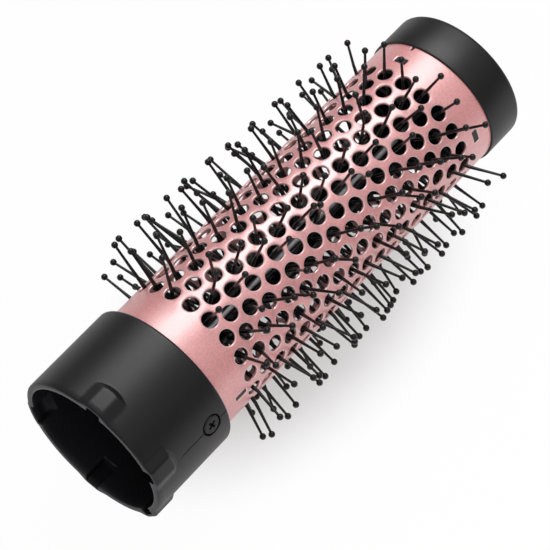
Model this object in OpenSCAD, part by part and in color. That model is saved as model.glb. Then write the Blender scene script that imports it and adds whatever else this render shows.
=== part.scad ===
// Round brush head of a hot-air styler: a coupling socket, a drilled aluminium
// barrel, ten strips of ball-tipped pins that stand out through its holes, the
// rod, spiders and sleeves that carry the strips inside, and a push-on end cap.
// +X runs along the barrel from the socket's mouth to the cap, and +Z is up.
// Angles round the barrel are counted from +Z towards +Y.

/* [Barrel] */
// Outer diameter of the barrel
barrel_d = 40; // [33:0.5:48]
// Wall of the barrel tube
barrel_wall = 0.8; // [0.6:0.1:1.1]
// Length of barrel that shows between the socket and the cap
barrel_show = 109.4; // [91:0.2:132]
// Diameter of the air holes
hole_d = 4.4; // [3.6:0.1:5.3]
// Step from one ring of holes to the next
ring_pitch = 5.08; // [4.6:0.02:6.2]
// Plain band left at each end of the hole field, to the first hole centres
plain_band = 11.4; // [10:0.1:16]
// Turn of each ring against the ring before, as a share of the hole spacing
ring_turn = 0.4; // [0:0.05:0.5]
// Angle of the first hole of the first ring
first_hole_angle = -16.4; // [-18:0.1:18]

/* [Socket] */
// Length of barrel that sits inside the socket
grip_len = 10; // [8.5:0.5:12]
// Wall of the socket round the barrel
socket_wall = 2.1; // [1.9:0.1:2.6]
// Wall of the socket round its mouth
mouth_wall = 2; // [1.8:0.1:2.2]
// Depth of the mouth that takes the handle
mouth_depth = 16; // [13:0.5:20]
// Angle of the first bayonet lug
lug_angle = -5; // [-30:1:30]
// Length of a lug along the barrel
lug_len = 8.2; // [6:0.1:10]
// Width of a lug's foot
lug_w = 10.3; // [8.5:0.1:12]
// Width of a lug's flat top
lug_top = 4.3; // [3.4:0.1:5.2]
// Height of a lug over the socket
lug_rise = 1.1; // [0.6:0.1:1.5]

/* [End cap] */
// Length of the end cap
cap_len = 11.8; // [10:0.2:15]
// Lip of the cap over the barrel
cap_lip = 0.55; // [0.45:0.05:1.2]
// Length of barrel that the cap covers
cap_overlap = 5; // [4:0.2:6]
// Radius of the cap's outer edge
cap_round = 1.2; // [0.4:0.1:2]

/* [Pins] */
// Reach of the pins over the barrel, to the middle of the ball
pin_reach = 10; // [8:0.2:12]
// Diameter of a pin at its root
pin_root_d = 1.3; // [1.1:0.05:1.5]
// Diameter of a pin where it leaves the barrel
pin_mid_d = 1.15; // [0.9:0.05:1.3]
// Diameter of a pin under its ball
pin_neck_d = 0.66; // [0.5:0.02:0.8]
// Diameter of the ball on a pin
ball_d = 1.9; // [1.6:0.1:2.2]
// How far the end rings of pins splay along the barrel
pin_fan = 5.1; // [0:0.1:6]
// Thickness of a strip's spine
spine_t = 1.2; // [1:0.05:1.3]
// Height of a strip's spine
spine_h = 3; // [2.5:0.1:3.6]

/* [Screws] */
// Distance of the socket screws from the barrel's end
screw_inset = 4.1; // [3.4:0.1:5]
// Angle of the first socket screw
screw_angle = -71; // [-90:1:-50]
// Diameter of a screw head
head_d = 5.2; // [4.6:0.1:5.6]
// Diameter of a screw's shank
shank_d = 2.6; // [2.2:0.1:3]

/* [Hidden] */
// Number of pin strips, each with two rows of pins
strips = 10;
// The fuller row of a strip has a pin at each ring, and the other skips every third
skip = 3;
// Lugs sit at these steps round the mouth, and the wide key pocket lies opposite them
lug_step = 60;
lug_steps = [0, -1, -2, 3];
key_angle = lug_angle + 111;
key_half = 3.7;
key_rise = 0.35;
spokes = 5;
holes_per_ring = 2*strips;
hole_step = 360/holes_per_ring;
strip_step = 360/strips;

// Clearances
slip = 0.1;
cap_slip = 0.05;
hole_ease = 0.4;

// Radii
barrel_r = barrel_d/2;
barrel_bore_r = barrel_r - barrel_wall;
seat_r = barrel_r + slip;
socket_r = seat_r + socket_wall;
mouth_r = socket_r - mouth_wall;
cap_bore_r = barrel_r + cap_slip;
cap_r = cap_bore_r + cap_lip;
ring_r = barrel_bore_r - slip;
ring_wall = 1.7;
ring_in_r = ring_r - ring_wall;
rod_r = 3;
spine_in_r = rod_r + 0.2;
spine_out_r = spine_in_r + spine_h;
hub_r = spine_out_r + 1.4;
tip_r = barrel_r + pin_reach;
brush_r = tip_r + ball_d/2;

// Places along the barrel
shoulder_t = 1.5;
shoulder_h = 1.6;
barrel_x0 = mouth_depth + shoulder_t;
socket_len = barrel_x0 + grip_len;
screw_x = barrel_x0 + screw_inset;
cap_x = socket_len + barrel_show;
barrel_x1 = cap_x + cap_overlap;
end_x = cap_x + cap_len;
rings = floor((barrel_show - 2*plain_band)/ring_pitch) + 1;
field_len = (rings - 1)*ring_pitch;
ring_x0 = socket_len + (barrel_show - field_len)/2;
ring_x1 = ring_x0 + field_len;

// Snap windows in the barrel: long across it near the cap, long along it near the socket
window_len = 3.9;
window_w = 1.9;
window_inset = 5.4;
front_window_x = cap_x - window_inset;
front_window_angle = 21.5;
front_windows = 4;
rear_window_x = ring_x0 - ring_pitch/2 - window_len/2 - 0.25;
rear_window_angle = first_hole_angle - 3.5*hole_step - 1;
rear_windows = 2;
// Slits at the cap's edge
slit_w = 0.75;
slit_len = 3;
slit_show = 1.1;
slits = 2;

// Sleeves line the ends of the barrel, and spiders sit in them
sleeve_edge = 0.4;
rear_ring_x0 = barrel_x0;
rear_ring_x1 = ring_x0 - hole_d/2 - sleeve_edge + 0.1;
front_ring_x0 = ring_x1 + hole_d/2 + sleeve_edge;
front_ring_x1 = barrel_x1 - sleeve_edge;
boss_d = 6.4;
hub_len = 7;
hub_end_t = 1.6;
rear_hub_x0 = screw_x + boss_d/2 + 0.3;
rear_hub_x1 = rear_hub_x0 + hub_end_t + hub_len;
front_hub_x1 = cap_x + 3;
front_hub_x0 = front_hub_x1 - hub_end_t - hub_len;
spoke_t = 1.6;
spoke_len = 4;
rim_r = ring_in_r - 0.05;
rim_t = 1.3;
rod_x0 = rear_hub_x0 + hub_end_t;
rod_x1 = front_hub_x1 - hub_end_t;
spine_x0 = rod_x0 + slip;
spine_x1 = rod_x1 - slip;

// Cap collar that plugs into the front sleeve
collar_wall = 1.3;
collar_r = ring_in_r - slip;
collar_len = 9;
cap_face = 2.2;

// Pins
root_depth = 0.5;
root_r = spine_out_r - root_depth;
bend_r = barrel_r + 0.3;
root_stagger = 1.2;
tip_stagger = 1.2;
tip_gain = 1.1;
stray_x = 0.9;
stray_angle = 1.6;
pin_sides = 3;
// A three-sided pin is drawn a little larger, to look as thick as a round one
pin_swell = 1.15;
floor_cut = 0.5;
floor_z = -(brush_r - floor_cut);

// Screws
head_h = 1.1;
head_sunk = 0.35;
head_top_r = socket_r - head_sunk;
head_seat_r = head_top_r - head_h;
recess_d = head_d + 0.9;
shank_len = 6.2;
boss_in_r = head_seat_r - shank_len - 0.8;
cross_w = 0.7;
cross_len = 2.8;
cross_depth = 0.7;
core_shank_len = 5;

$fn = 64;

// Places and turns

function polar(x, a, r) = [x, r*sin(a), r*cos(a)];
function unit(v) = v/norm(v);
function wrap(a, step) = a - step*floor(a/step);
function arc(c, r, a0, a1, n = 6) =
    [for (i = [0:n]) c + r*[cos(a0 + (a1 - a0)*i/n), sin(a0 + (a1 - a0)*i/n)]];
function ring_x(i) = ring_x0 + i*ring_pitch;
function ring_angle(i) = first_hole_angle - i*ring_turn*hole_step;

module at_angle(a) rotate([-a, 0, 0]) children();

module spin_x() rotate([0, 90, 0]) rotate_extrude($fn = 96) children();

module rod_x(x0, x1, r) translate([x0, 0, 0]) rotate([0, 90, 0]) cylinder(r = r, h = x1 - x0);

module tube_x(x0, x1, r_out, r_in) spin_x() translate([r_in, x0]) square([r_out - r_in, x1 - x0]);

// A piece of tube round the Z side, as wide as half to either side
module sector_x(x0, x1, r_out, r_in, half) {
    intersection() {
        tube_x(x0, x1, r_out, r_in);
        translate([x0, -half, 0]) cube([x1 - x0, 2*half, r_out + 1]);
    }
}

module round_about(n, a0 = 0) {
    for (k = [0:n - 1]) at_angle(a0 + k*360/n) children();
}

// A peg that points outwards, drawn from radius r0 to radius r1
module peg(x, r0, r1, d) translate([x, 0, r0]) cylinder(d = d, h = r1 - r0, $fn = 32);

// A window's block, long across the barrel or along it, drawn from radius r0 to radius r1
module window(x, r0, r1, lengthways, ease = 0) {
    l = (lengthways ? window_len : window_w) - 2*ease;
    w = (lengthways ? window_w : window_len) - 2*ease;
    translate([x - l/2, -w/2, r0]) cube([l, w, r1 - r0]);
}

// Socket

// A lug with a flat top, wide sloping sides and an arched inner end that slopes down
module lug() {
    foot = lug_w/2;
    top = lug_top/2;
    side_z = sqrt(pow(socket_r, 2) - pow(foot, 2)) - 0.1;
    top_z = socket_r + lug_rise;
    low = side_z - 0.9;
    end_slope = 1.3;
    arch = 1.6;
    intersection() {
        rotate([90, 0, 90])
            linear_extrude(lug_len)
                polygon([[-foot, low], [foot, low], [foot, side_z], [top, top_z], [-top, top_z],
                    [-foot, side_z]]);
        rotate([90, 0, 0])
            linear_extrude(lug_w + 2, center = true)
                polygon([[0.3, low - 1], [lug_len + 1, low - 1], [lug_len + 1, side_z],
                    [lug_len, socket_r - 0.1], [lug_len - end_slope, top_z + 0.1], [0.9, top_z + 0.1],
                    [0.3, socket_r]]);
        translate([0, 0, low])
            linear_extrude(top_z - low + 1)
                intersection() {
                    translate([0, -foot]) square([lug_len, lug_w]);
                    translate([lug_len - (foot*foot/arch + arch)/2, 0])
                        circle(r = (foot*foot/arch + arch)/2, $fn = 96);
                }
    }
}

// The hollow behind a lug, where the handle's own lug slides in
module lug_pocket() {
    half = lug_top/2;
    deep = socket_r + lug_rise - 1.1;
    translate([-1, -half, mouth_r - 2]) cube([lug_len - 1.2 + 1, 2*half, deep - mouth_r + 2]);
}

// The wide key pocket lets the head go on one way only, and swells the socket a little
module key_swell() {
    sector_x(0.5, lug_len - 1, socket_r + key_rise, socket_r - 0.8, 1.15*key_half);
}

module key_pocket() {
    deep = socket_r + key_rise - 1.2;
    sector_x(-1, lug_len - 2.2, deep, mouth_r - 0.6, key_half);
}

module socket() {
    edge = 0.9;
    lip = 0.5;
    color("#2b2b2e") difference() {
        union() {
            spin_x() polygon(concat(
                [[mouth_r, 0], [socket_r - lip, 0], [socket_r, lip]],
                arc([socket_r - edge, socket_len - edge], edge, 0, 90),
                [[seat_r, socket_len], [seat_r, barrel_x0],
                    [seat_r - shoulder_h, barrel_x0], [seat_r - shoulder_h, mouth_depth],
                    [mouth_r, mouth_depth]]));
            for (k = lug_steps) at_angle(lug_angle + k*lug_step) lug();
            at_angle(key_angle) key_swell();
        }
        for (k = lug_steps) at_angle(lug_angle + k*lug_step) lug_pocket();
        at_angle(key_angle) key_pocket();
        round_about(2, screw_angle) {
            peg(screw_x, head_seat_r, socket_r + 1, recess_d);
            peg(screw_x, seat_r - 1, socket_r, shank_d + hole_ease);
        }
    }
}

// Barrel

module barrel() {
    color("#d9a09c") difference() {
        tube_x(barrel_x0, barrel_x1, barrel_r, barrel_bore_r);
        for (i = [0:rings - 1])
            round_about(holes_per_ring, ring_angle(i))
                peg(ring_x(i), barrel_bore_r - 1, barrel_r + 1, hole_d);
        round_about(front_windows, front_window_angle)
            window(front_window_x, barrel_bore_r - 1, barrel_r + 1, false);
        round_about(rear_windows, rear_window_angle)
            window(rear_window_x, barrel_bore_r - 1, barrel_r + 1, true);
        round_about(slits, front_window_angle)
            translate([cap_x - slit_show, -slit_w/2, barrel_bore_r - 1]) cube([slit_len, slit_w, 3]);
        round_about(2, screw_angle) peg(screw_x, barrel_bore_r - 1, barrel_r + 1, shank_d + hole_ease);
    }
}

// End cap

module end_cap() {
    color("#2b2b2e") difference() {
        spin_x() polygon(concat(
            [[cap_bore_r, cap_x], [cap_r, cap_x]],
            arc([cap_r - cap_round, end_x - cap_round], cap_round, 0, 90),
            [[0, end_x], [0, end_x - cap_face], [collar_r - collar_wall, end_x - cap_face],
                [collar_r - collar_wall, end_x - collar_len], [collar_r, end_x - collar_len],
                [collar_r, end_x - cap_face - 1], [cap_bore_r - 1.4, end_x - cap_face - 1],
                [cap_bore_r - 1.4, barrel_x1 + slip], [cap_bore_r, barrel_x1 + slip]]));
    }
}

// Sleeves and spiders that carry the rod and the strips

// Hub with a slot for the end of each strip, closed at one end
module hub(x0, x1, closed_at_x0) {
    open_x0 = closed_at_x0 ? x0 + hub_end_t : x0 - 1;
    open_x1 = closed_at_x0 ? x1 + 1 : x1 - hub_end_t;
    difference() {
        rod_x(x0, x1, hub_r);
        rod_x(open_x0, open_x1, rod_r + cap_slip);
        rod_x(x0 - 1, x1 + 1, (shank_d + hole_ease)/2);
        round_about(strips)
            translate([open_x0, -spine_t/2 - slip, 0])
                cube([open_x1 - open_x0, spine_t + 2*slip, spine_out_r + slip]);
    }
}

module spokes_and_rim(x0) {
    round_about(spokes, strip_step/2)
        translate([x0, -spoke_t/2, hub_r - 0.5])
            cube([spoke_len, spoke_t, rim_r - rim_t - hub_r + 1]);
    tube_x(x0, x0 + spoke_len, rim_r, rim_r - rim_t);
}

module rear_sleeve() {
    color("#232325") difference() {
        union() {
            tube_x(rear_ring_x0, rear_ring_x1, ring_r, ring_in_r);
            round_about(2, screw_angle) peg(screw_x, boss_in_r, ring_in_r + 0.8, boss_d);
            round_about(rear_windows, rear_window_angle)
                window(rear_window_x, ring_r - 0.4, barrel_r - 0.3, true, slip);
        }
        round_about(2, screw_angle) peg(screw_x, boss_in_r - 1, ring_r + 1, shank_d);
    }
}

module rear_spider() {
    color("#1d1d1f") union() {
        hub(rear_hub_x0, rear_hub_x1, true);
        spokes_and_rim(rear_hub_x0);
    }
}

module front_sleeve() {
    color("#232325") union() {
        tube_x(front_ring_x0, front_ring_x1, ring_r, ring_in_r);
        round_about(front_windows, front_window_angle)
            window(front_window_x, ring_r - 0.4, barrel_r - 0.3, false, slip);
    }
}

module front_spider() {
    color("#1d1d1f") union() {
        hub(front_hub_x0, front_hub_x1, false);
        spokes_and_rim(front_hub_x0);
    }
}

module core_rod() {
    color("silver") difference() {
        rod_x(rod_x0, rod_x1, rod_r);
        rod_x(rod_x0 - 1, rod_x0 + core_shank_len, shank_d/2);
        rod_x(rod_x1 - core_shank_len, rod_x1 + 1, shank_d/2);
    }
}

// Screws

// A pan-head screw that points down, with the seat of its head at the origin
module pan_screw(shank) {
    dome = 0.45;
    difference() {
        union() {
            rotate_extrude($fn = 48) polygon(concat(
                [[0, 0], [head_d/2, 0], [head_d/2, head_h - dome]],
                [for (i = [1:5]) [head_d/2*cos(i*14), head_h - dome + dome*sin(i*18)]],
                [[0, head_h]]));
            translate([0, 0, -shank]) cylinder(d = shank_d, h = shank + 0.1, $fn = 32);
        }
        for (a = [0, 90]) rotate([0, 0, a])
            translate([-cross_len/2, -cross_w/2, head_h - cross_depth]) cube([cross_len, cross_w, head_h]);
    }
}

module socket_screws() {
    color("#1c1c1e") round_about(2, screw_angle)
        translate([screw_x, 0, head_seat_r]) pan_screw(shank_len);
}

module core_screws() {
    color("#8d8f93") {
        translate([rear_hub_x0, 0, 0]) rotate([0, -90, 0]) pan_screw(hub_end_t + core_shank_len - 1);
        translate([front_hub_x1, 0, 0]) rotate([0, 90, 0]) pan_screw(hub_end_t + core_shank_len - 1);
    }
}

// Pin strips

// Angle of a pin against its strip's own angle: side 0 leans back, side 1 forward
function pin_angle(i, side) = wrap(ring_angle(i), hole_step) - (side == 0 ? hole_step : 0);

// From -1 at the first ring to 1 at the last
function along(i) = (2*i - rings + 1)/(rings - 1);

function pin_root(i, side) = [ring_x(i) + (side == 0 ? -1 : 1)*root_stagger, 0, root_r];
function pin_bend(i, side) = polar(ring_x(i), pin_angle(i, side), bend_r);
function pin_tip(i, side, jx, ja) = polar(
    ring_x(i) - (side == 0 ? -1 : 1)*tip_stagger + pin_fan*along(i) + stray_x*jx,
    tip_gain*pin_angle(i, side) + stray_angle*ja, tip_r);

// A ring of points round p, square to the direction d
function section(p, d, r) = let (u = unit(cross(d, [1, 0, 0])), v = cross(u, d))
    [for (k = [0:pin_sides - 1]) p + r*pin_swell*(cos(k*360/pin_sides)*u + sin(k*360/pin_sides)*v)];

// One pin: root, bend at the barrel, neck and ball, all faces triangles
module pin(root, bend, tip) {
    d0 = unit(bend - root);
    d1 = unit(tip - bend);
    n = pin_sides;
    last = 3*n;
    points = concat(
        section(root, d0, pin_root_d/2),
        section(bend, unit(d0 + d1), pin_mid_d/2),
        section(tip - 0.8*ball_d*d1, d1, pin_neck_d/2),
        section(tip, d1, ball_d/2));
    sides = [for (s = [0:2], k = [0:n - 1], half = [0, 1])
        let (a = s*n + k, b = s*n + (k + 1)%n)
            half == 0 ? [a, b, b + n] : [a, b + n, a + n]];
    ends = concat([for (k = [1:n - 2]) [0, k + 1, k]], [for (k = [1:n - 2]) [last, last + k, last + k + 1]]);
    polyhedron(points = points, faces = concat(sides, ends));
}

module bristle_strip(s) {
    stray = rands(-1, 1, 4*rings, 11 + s);
    color("#1f1f21") difference() {
        at_angle(s*strip_step) union() {
            translate([spine_x0, -spine_t/2, spine_in_r]) cube([spine_x1 - spine_x0, spine_t, spine_h]);
            for (i = [0:rings - 1], side = [0, 1])
                if (side == 0 || i % skip != 0)
                    pin(pin_root(i, side), pin_bend(i, side),
                        pin_tip(i, side, stray[4*i + 2*side], stray[4*i + 2*side + 1]));
        }
        translate([0, -brush_r, floor_z - 5]) cube([end_x, 2*brush_r, 5]);
    }
}

socket();
barrel();
end_cap();
rear_sleeve();
rear_spider();
front_sleeve();
front_spider();
core_rod();
core_screws();
socket_screws();
bristle_strip(0);  // bristle_strip_01
bristle_strip(1);  // bristle_strip_02
bristle_strip(2);  // bristle_strip_03
bristle_strip(3);  // bristle_strip_04
bristle_strip(4);  // bristle_strip_05
bristle_strip(5);  // bristle_strip_06
bristle_strip(6);  // bristle_strip_07
bristle_strip(7);  // bristle_strip_08
bristle_strip(8);  // bristle_strip_09
bristle_strip(9);  // bristle_strip_10
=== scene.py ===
"""Looks of a round hot-air brush head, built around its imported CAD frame."""

import functools
import math

import bmesh
import bpy
from bpy.props import FloatProperty, FloatVectorProperty, IntProperty, PointerProperty
from mathutils import Matrix, Vector


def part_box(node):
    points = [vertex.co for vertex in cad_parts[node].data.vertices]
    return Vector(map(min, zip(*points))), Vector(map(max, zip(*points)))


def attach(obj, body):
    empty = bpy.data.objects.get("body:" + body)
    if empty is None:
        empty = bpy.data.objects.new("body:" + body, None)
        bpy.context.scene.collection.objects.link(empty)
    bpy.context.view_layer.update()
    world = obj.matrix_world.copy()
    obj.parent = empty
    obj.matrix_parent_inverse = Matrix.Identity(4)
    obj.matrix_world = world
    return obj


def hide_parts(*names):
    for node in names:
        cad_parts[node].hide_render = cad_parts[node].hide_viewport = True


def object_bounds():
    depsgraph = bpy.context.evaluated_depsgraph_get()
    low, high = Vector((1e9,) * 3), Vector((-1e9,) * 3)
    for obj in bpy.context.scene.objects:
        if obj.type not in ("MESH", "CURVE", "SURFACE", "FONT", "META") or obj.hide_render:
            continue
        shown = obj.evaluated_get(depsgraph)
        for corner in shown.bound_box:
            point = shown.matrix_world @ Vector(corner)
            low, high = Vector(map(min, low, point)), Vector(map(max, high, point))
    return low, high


bl_info = {
    "name": "Round brush head",
    "version": (1, 0, 0),
    "blender": (4, 5, 0),
    "location": "3D View > Sidebar > Brush head",
    "description": "Builds the looks of a drilled hot-air brush head around its CAD frame",
    "category": "Object",
}

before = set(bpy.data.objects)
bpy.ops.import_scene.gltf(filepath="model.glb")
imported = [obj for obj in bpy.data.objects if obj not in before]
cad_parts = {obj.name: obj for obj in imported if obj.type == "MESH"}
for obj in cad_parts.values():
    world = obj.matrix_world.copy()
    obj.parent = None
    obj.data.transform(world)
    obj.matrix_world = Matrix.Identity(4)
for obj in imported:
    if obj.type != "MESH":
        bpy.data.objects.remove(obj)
cad_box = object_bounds()

TURN = 2 * math.pi


def far_end(node, axis=0):
    """Highest coordinate of a CAD node along an axis, in metres."""
    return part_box(node)[1][axis]


def near_end(node):
    """Lowest coordinate of a CAD node along the barrel, in metres."""
    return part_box(node)[0][0]


def length(name, text, default, low, high):
    return FloatProperty(name=name, description=text, default=default, min=low, max=high,
                         unit="LENGTH", precision=5)


def turn(name, text, degrees):
    return FloatProperty(name=name, description=text, default=math.radians(degrees), subtype="ANGLE")


def count(name, text, default, low, high):
    return IntProperty(name=name, description=text, default=default, min=low, max=high)


def level(name, text, default, high, unit="NONE"):
    return FloatProperty(name=name, description=text, default=default, min=0, max=high, unit=unit)


def paint(name, text, rgb):
    return FloatVectorProperty(name=name, description=text, default=rgb, min=0, max=1,
                               size=3, subtype="COLOR")


class BarrelSettings(bpy.types.PropertyGroup):
    radius: length("Radius", "Outer radius of the barrel", 0.020, 0.016, 0.024)
    wall: length("Wall", "Thickness of the tube", 0.0008, 0.0005, 0.0012)
    hole: length("Hole", "Diameter of an air hole", 0.0044, 0.0036, 0.0053)
    pitch: length("Pitch", "Step from one ring of holes to the next", 0.00508, 0.0046, 0.0062)
    first_ring: length("First ring", "Place of the first ring of holes", 0.03902, 0.03, 0.05)
    first_angle: turn("First hole", "Angle of the first hole of the first ring", -16.4)
    ring_turn: turn("Ring turn", "Turn of each ring against the last", 7.2)
    rings: count("Rings", "Rings of holes", 18, 3, 24)
    holes: count("Holes", "Holes in a ring", 20, 10, 30)
    rim: length("Rim", "Rounding of a hole's edge", 0.0003, 0.00005, 0.0004)
    window_length: length("Window length", "Long side of a snap window", 0.0039, 0.003, 0.006)
    window_width: length("Window width", "Short side of a snap window", 0.0019, 0.001, 0.004)


class PinSettings(bpy.types.PropertyGroup):
    strips: count("Strips", "Strips of pins", 10, 5, 15)
    reach: length("Reach", "Radius at the middle of the balls", 0.030, 0.025, 0.034)
    stem: length("Stem", "Thickness of a pin where it leaves the barrel", 0.00118, 0.0008, 0.0014)
    neck: length("Neck", "Thickness of a pin under its ball", 0.00072, 0.0004, 0.0009)
    ball: length("Ball", "Diameter of the ball", 0.00185, 0.0012, 0.0022)
    fan: length("Fan", "Splay of the end rings along the barrel", 0.0022, 0, 0.006)
    drift: length("Drift", "Lean of the raised side's pins along the barrel", 0.0015, 0, 0.004)
    lift: length("Lift", "Extra reach of the raised side's pins by the socket", 0.00265, 0, 0.004)
    lift_angle: turn("Lift angle", "Middle of the raised side", 66)
    sparse: count("Sparse", "Rings to each pin in a strip's second row", 3, 1, 18)
    stray: length("Stray", "Unevenness of the tips", 0.0011, 0, 0.002)
    seed: count("Seed", "Seed of the unevenness", 7, 0, 999)


class SocketSettings(bpy.types.PropertyGroup):
    radius: length("Radius", "Outer radius of the socket", 0.0222, 0.02, 0.026)
    mouth: length("Mouth", "Radius of the mouth", 0.0202, 0.018, 0.024)
    mouth_depth: length("Mouth depth", "Depth of the mouth", 0.016, 0.012, 0.02)
    lug_length: length("Lug length", "Length of a bayonet lug", 0.0082, 0.006, 0.01)
    lug_width: length("Lug width", "Width of a lug's foot", 0.0103, 0.0085, 0.012)
    lug_top: length("Lug top", "Width of a lug's flat top", 0.0043, 0.0034, 0.0052)
    lug_rise: length("Lug rise", "Height of a lug", 0.0011, 0.0006, 0.0015)
    lug_angle: turn("First lug", "Angle of the first lug", -5)
    key_angle: turn("Key pocket", "Middle of the wide key pocket", 106)
    screw_place: length("Screw place", "Place of the socket screws", 0.0216, 0.02, 0.024)
    screw_angle: turn("Screw angle", "Angle of the first socket screw", -71)


class ScrewSettings(bpy.types.PropertyGroup):
    head: length("Head", "Diameter of a screw head", 0.0052, 0.0046, 0.0056)
    rise: length("Rise", "Height of a screw head", 0.0011, 0.0008, 0.0014)
    shank: length("Shank", "Diameter of a screw's shank", 0.0026, 0.0022, 0.003)


class FinishSettings(bpy.types.PropertyGroup):
    rose: paint("Rose anodising", "Colour of the barrel", (0.78, 0.31, 0.31))
    shell: paint("Shell plastic", "Colour of the socket and the cap", (0.002, 0.002, 0.0022))
    nylon: paint("Pin nylon", "Colour of the pins", (0.003, 0.003, 0.0034))
    inner: paint("Inner plastic", "Colour of the holders", (0.008, 0.008, 0.009))
    steel: paint("Steel", "Colour of the bright steel", (0.62, 0.62, 0.64))
    black_steel: paint("Black steel", "Colour of the socket screws", (0.045, 0.045, 0.047))


class StageSettings(bpy.types.PropertyGroup):
    key_power: level("Key lamp", "Power of the narrow lamp overhead", 1.75, 200, "POWER")
    wide_power: level("Wide lamp", "Power of the wide lamp overhead", 0.9, 200, "POWER")
    fill_power: level("Fill lamp", "Power of the soft lamp in front", 3.5, 200, "POWER")
    fill: level("Room", "Strength of the room's light from overhead", 0.6, 2)
    horizon: level("Horizon", "Strength of the room's light near the horizon", 0.18, 2)
    floor_tone: level("Floor tone", "Whiteness of the floor", 0.9, 1)


SETTINGS = {
    "brush_barrel": BarrelSettings,
    "brush_pins": PinSettings,
    "brush_socket": SocketSettings,
    "brush_screws": ScrewSettings,
    "brush_finish": FinishSettings,
    "brush_stage": StageSettings,
}


# Places on the barrel


def polar(x, angle, radius):
    """Point at a place along the barrel, an angle from +Z towards +Y, and a radius."""
    return Vector((x, radius * math.sin(angle), radius * math.cos(angle)))


def mix(a, b, t):
    """The value or point a share t of the way from a to b."""
    return a + (b - a) * t


# Mesh helpers


def new_mesh(name, bm):
    """Turns a bmesh into a mesh, and frees it."""
    mesh = bpy.data.meshes.new(name)
    bm.to_mesh(mesh)
    bm.free()
    return mesh


def new_object(name, data):
    """Links a mesh, lamp or camera into the scene at the origin."""
    item = bpy.data.objects.new(name, data)
    bpy.context.collection.objects.link(item)
    return item


def new_piece(name, bm, material, smooth=True):
    """Turns a bmesh into a finished object at the origin."""
    mesh = new_mesh(name, bm)
    for face in mesh.polygons:
        face.use_smooth = smooth
    mesh.materials.append(material)
    return new_object(name, mesh)


def evaluated_mesh(item):
    """The plain mesh that a modified object evaluates to."""
    graph = bpy.context.evaluated_depsgraph_get()
    return bpy.data.meshes.new_from_object(item.evaluated_get(graph))


def settle(piece):
    """Replaces a modified object with a plain one of the same name."""
    name = piece.name
    plain = new_object(name + "_plain", evaluated_mesh(piece))
    bpy.data.objects.remove(piece, do_unlink=True)
    plain.name = name
    plain.data.name = name
    return plain


def sharpen(piece, degrees):
    """Keeps edges sharper than an angle crisp under smooth shading."""
    piece.data.set_sharp_from_angle(angle=math.radians(degrees))


def loft(bm, loops, closed=True):
    """Skins a list of vertex loops of equal length with quads."""
    for low, high in zip(loops, loops[1:]):
        count = len(low)
        for k in range(count if closed else count - 1):
            n = (k + 1) % count
            bm.faces.new((low[k], low[n], high[n], high[k]))


def fan(bm, loop, middle):
    """Closes a loop of vertices with triangles to one point."""
    for k, vert in enumerate(loop):
        bm.faces.new((vert, loop[(k + 1) % len(loop)], middle))


def lathe(bm, outline, sides, close=True):
    """Turns an outline of (x, radius) pairs about the X axis, with radius 0 as a pole."""
    loops = []
    for x, radius in outline:
        around = [bm.verts.new(polar(x, TURN * k / sides, radius)) for k in range(sides if radius else 1)]
        loops.append(around)
    pairs = list(zip(loops, loops[1:]))
    if close:
        pairs.append((loops[-1], loops[0]))
    for low, high in pairs:
        if len(low) == 1 and len(high) > 1:
            fan(bm, high, low[0])
        elif len(high) == 1 and len(low) > 1:
            fan(bm, low, high[0])
        elif len(low) > 1:
            loft(bm, [low, high])


def round_corner(cx, cr, radius, start, end, steps):
    """Points of a rounded corner in an outline, between two angles in degrees."""
    points = []
    for k in range(steps + 1):
        a = math.radians(mix(start, end, k / steps))
        points.append((cx + radius * math.cos(a), cr + radius * math.sin(a)))
    return points


def face_out(bm):
    """Merges doubled points and turns every face outwards."""
    bmesh.ops.remove_doubles(bm, verts=bm.verts, dist=1e-7)
    bmesh.ops.recalc_face_normals(bm, faces=bm.faces)


class Nodes:
    """Adds nodes to a node tree, and joins or sets their inputs by name."""

    def __init__(self, tree):
        self.tree = tree

    def add(self, kind, inputs=None, **settings):
        node = self.tree.nodes.new(kind)
        for key, value in settings.items():
            setattr(node, key, value)
        self.fill(node, inputs or {})
        return node

    def fill(self, node, inputs):
        """Sets or joins several inputs of a node."""
        for key, value in inputs.items():
            self.set(node.inputs[key], value)

    def make(self, kind, inputs=None, **settings):
        """Adds a node and gives its first output."""
        return self.add(kind, inputs, **settings).outputs[0]

    def set(self, socket, value):
        if isinstance(value, bpy.types.NodeSocket):
            self.tree.links.new(value, socket)
        else:
            socket.default_value = value

    def calc(self, operation, *values):
        return self.make("ShaderNodeMath", dict(enumerate(values)), operation=operation)

    def plus(self, *values):
        return functools.reduce(lambda a, b: self.calc("ADD", a, b), values)

    def minus(self, a, b):
        return self.calc("SUBTRACT", a, b)

    def times(self, *values):
        return functools.reduce(lambda a, b: self.calc("MULTIPLY", a, b), values)

    def ramp(self, value, low, high, to_low=0.0, to_high=1.0, smooth=False):
        """Carries one range of a value over to another, and holds it at the ends."""
        return self.make("ShaderNodeMapRange", {"Value": value, "From Min": low, "From Max": high,
                                                "To Min": to_low, "To Max": to_high},
                         interpolation_type="SMOOTHSTEP" if smooth else "LINEAR")

    def vec(self, operation, *values):
        node = self.add("ShaderNodeVectorMath", dict(enumerate(values)), operation=operation)
        return node.outputs["Value" if operation == "LENGTH" else "Vector"]

    def scale(self, vector, factor):
        return self.make("ShaderNodeVectorMath", {0: vector, "Scale": factor}, operation="SCALE")

    def xyz(self, x, y, z):
        return self.make("ShaderNodeCombineXYZ", {0: x, 1: y, 2: z})

    def parts(self, vector):
        return self.add("ShaderNodeSeparateXYZ", {0: vector}).outputs

    def polar(self, x, angle, radius):
        """The same place as the polar function gives, from sockets."""
        return self.xyz(x, self.times(radius, self.calc("SINE", angle)),
                        self.times(radius, self.calc("COSINE", angle)))


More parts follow.
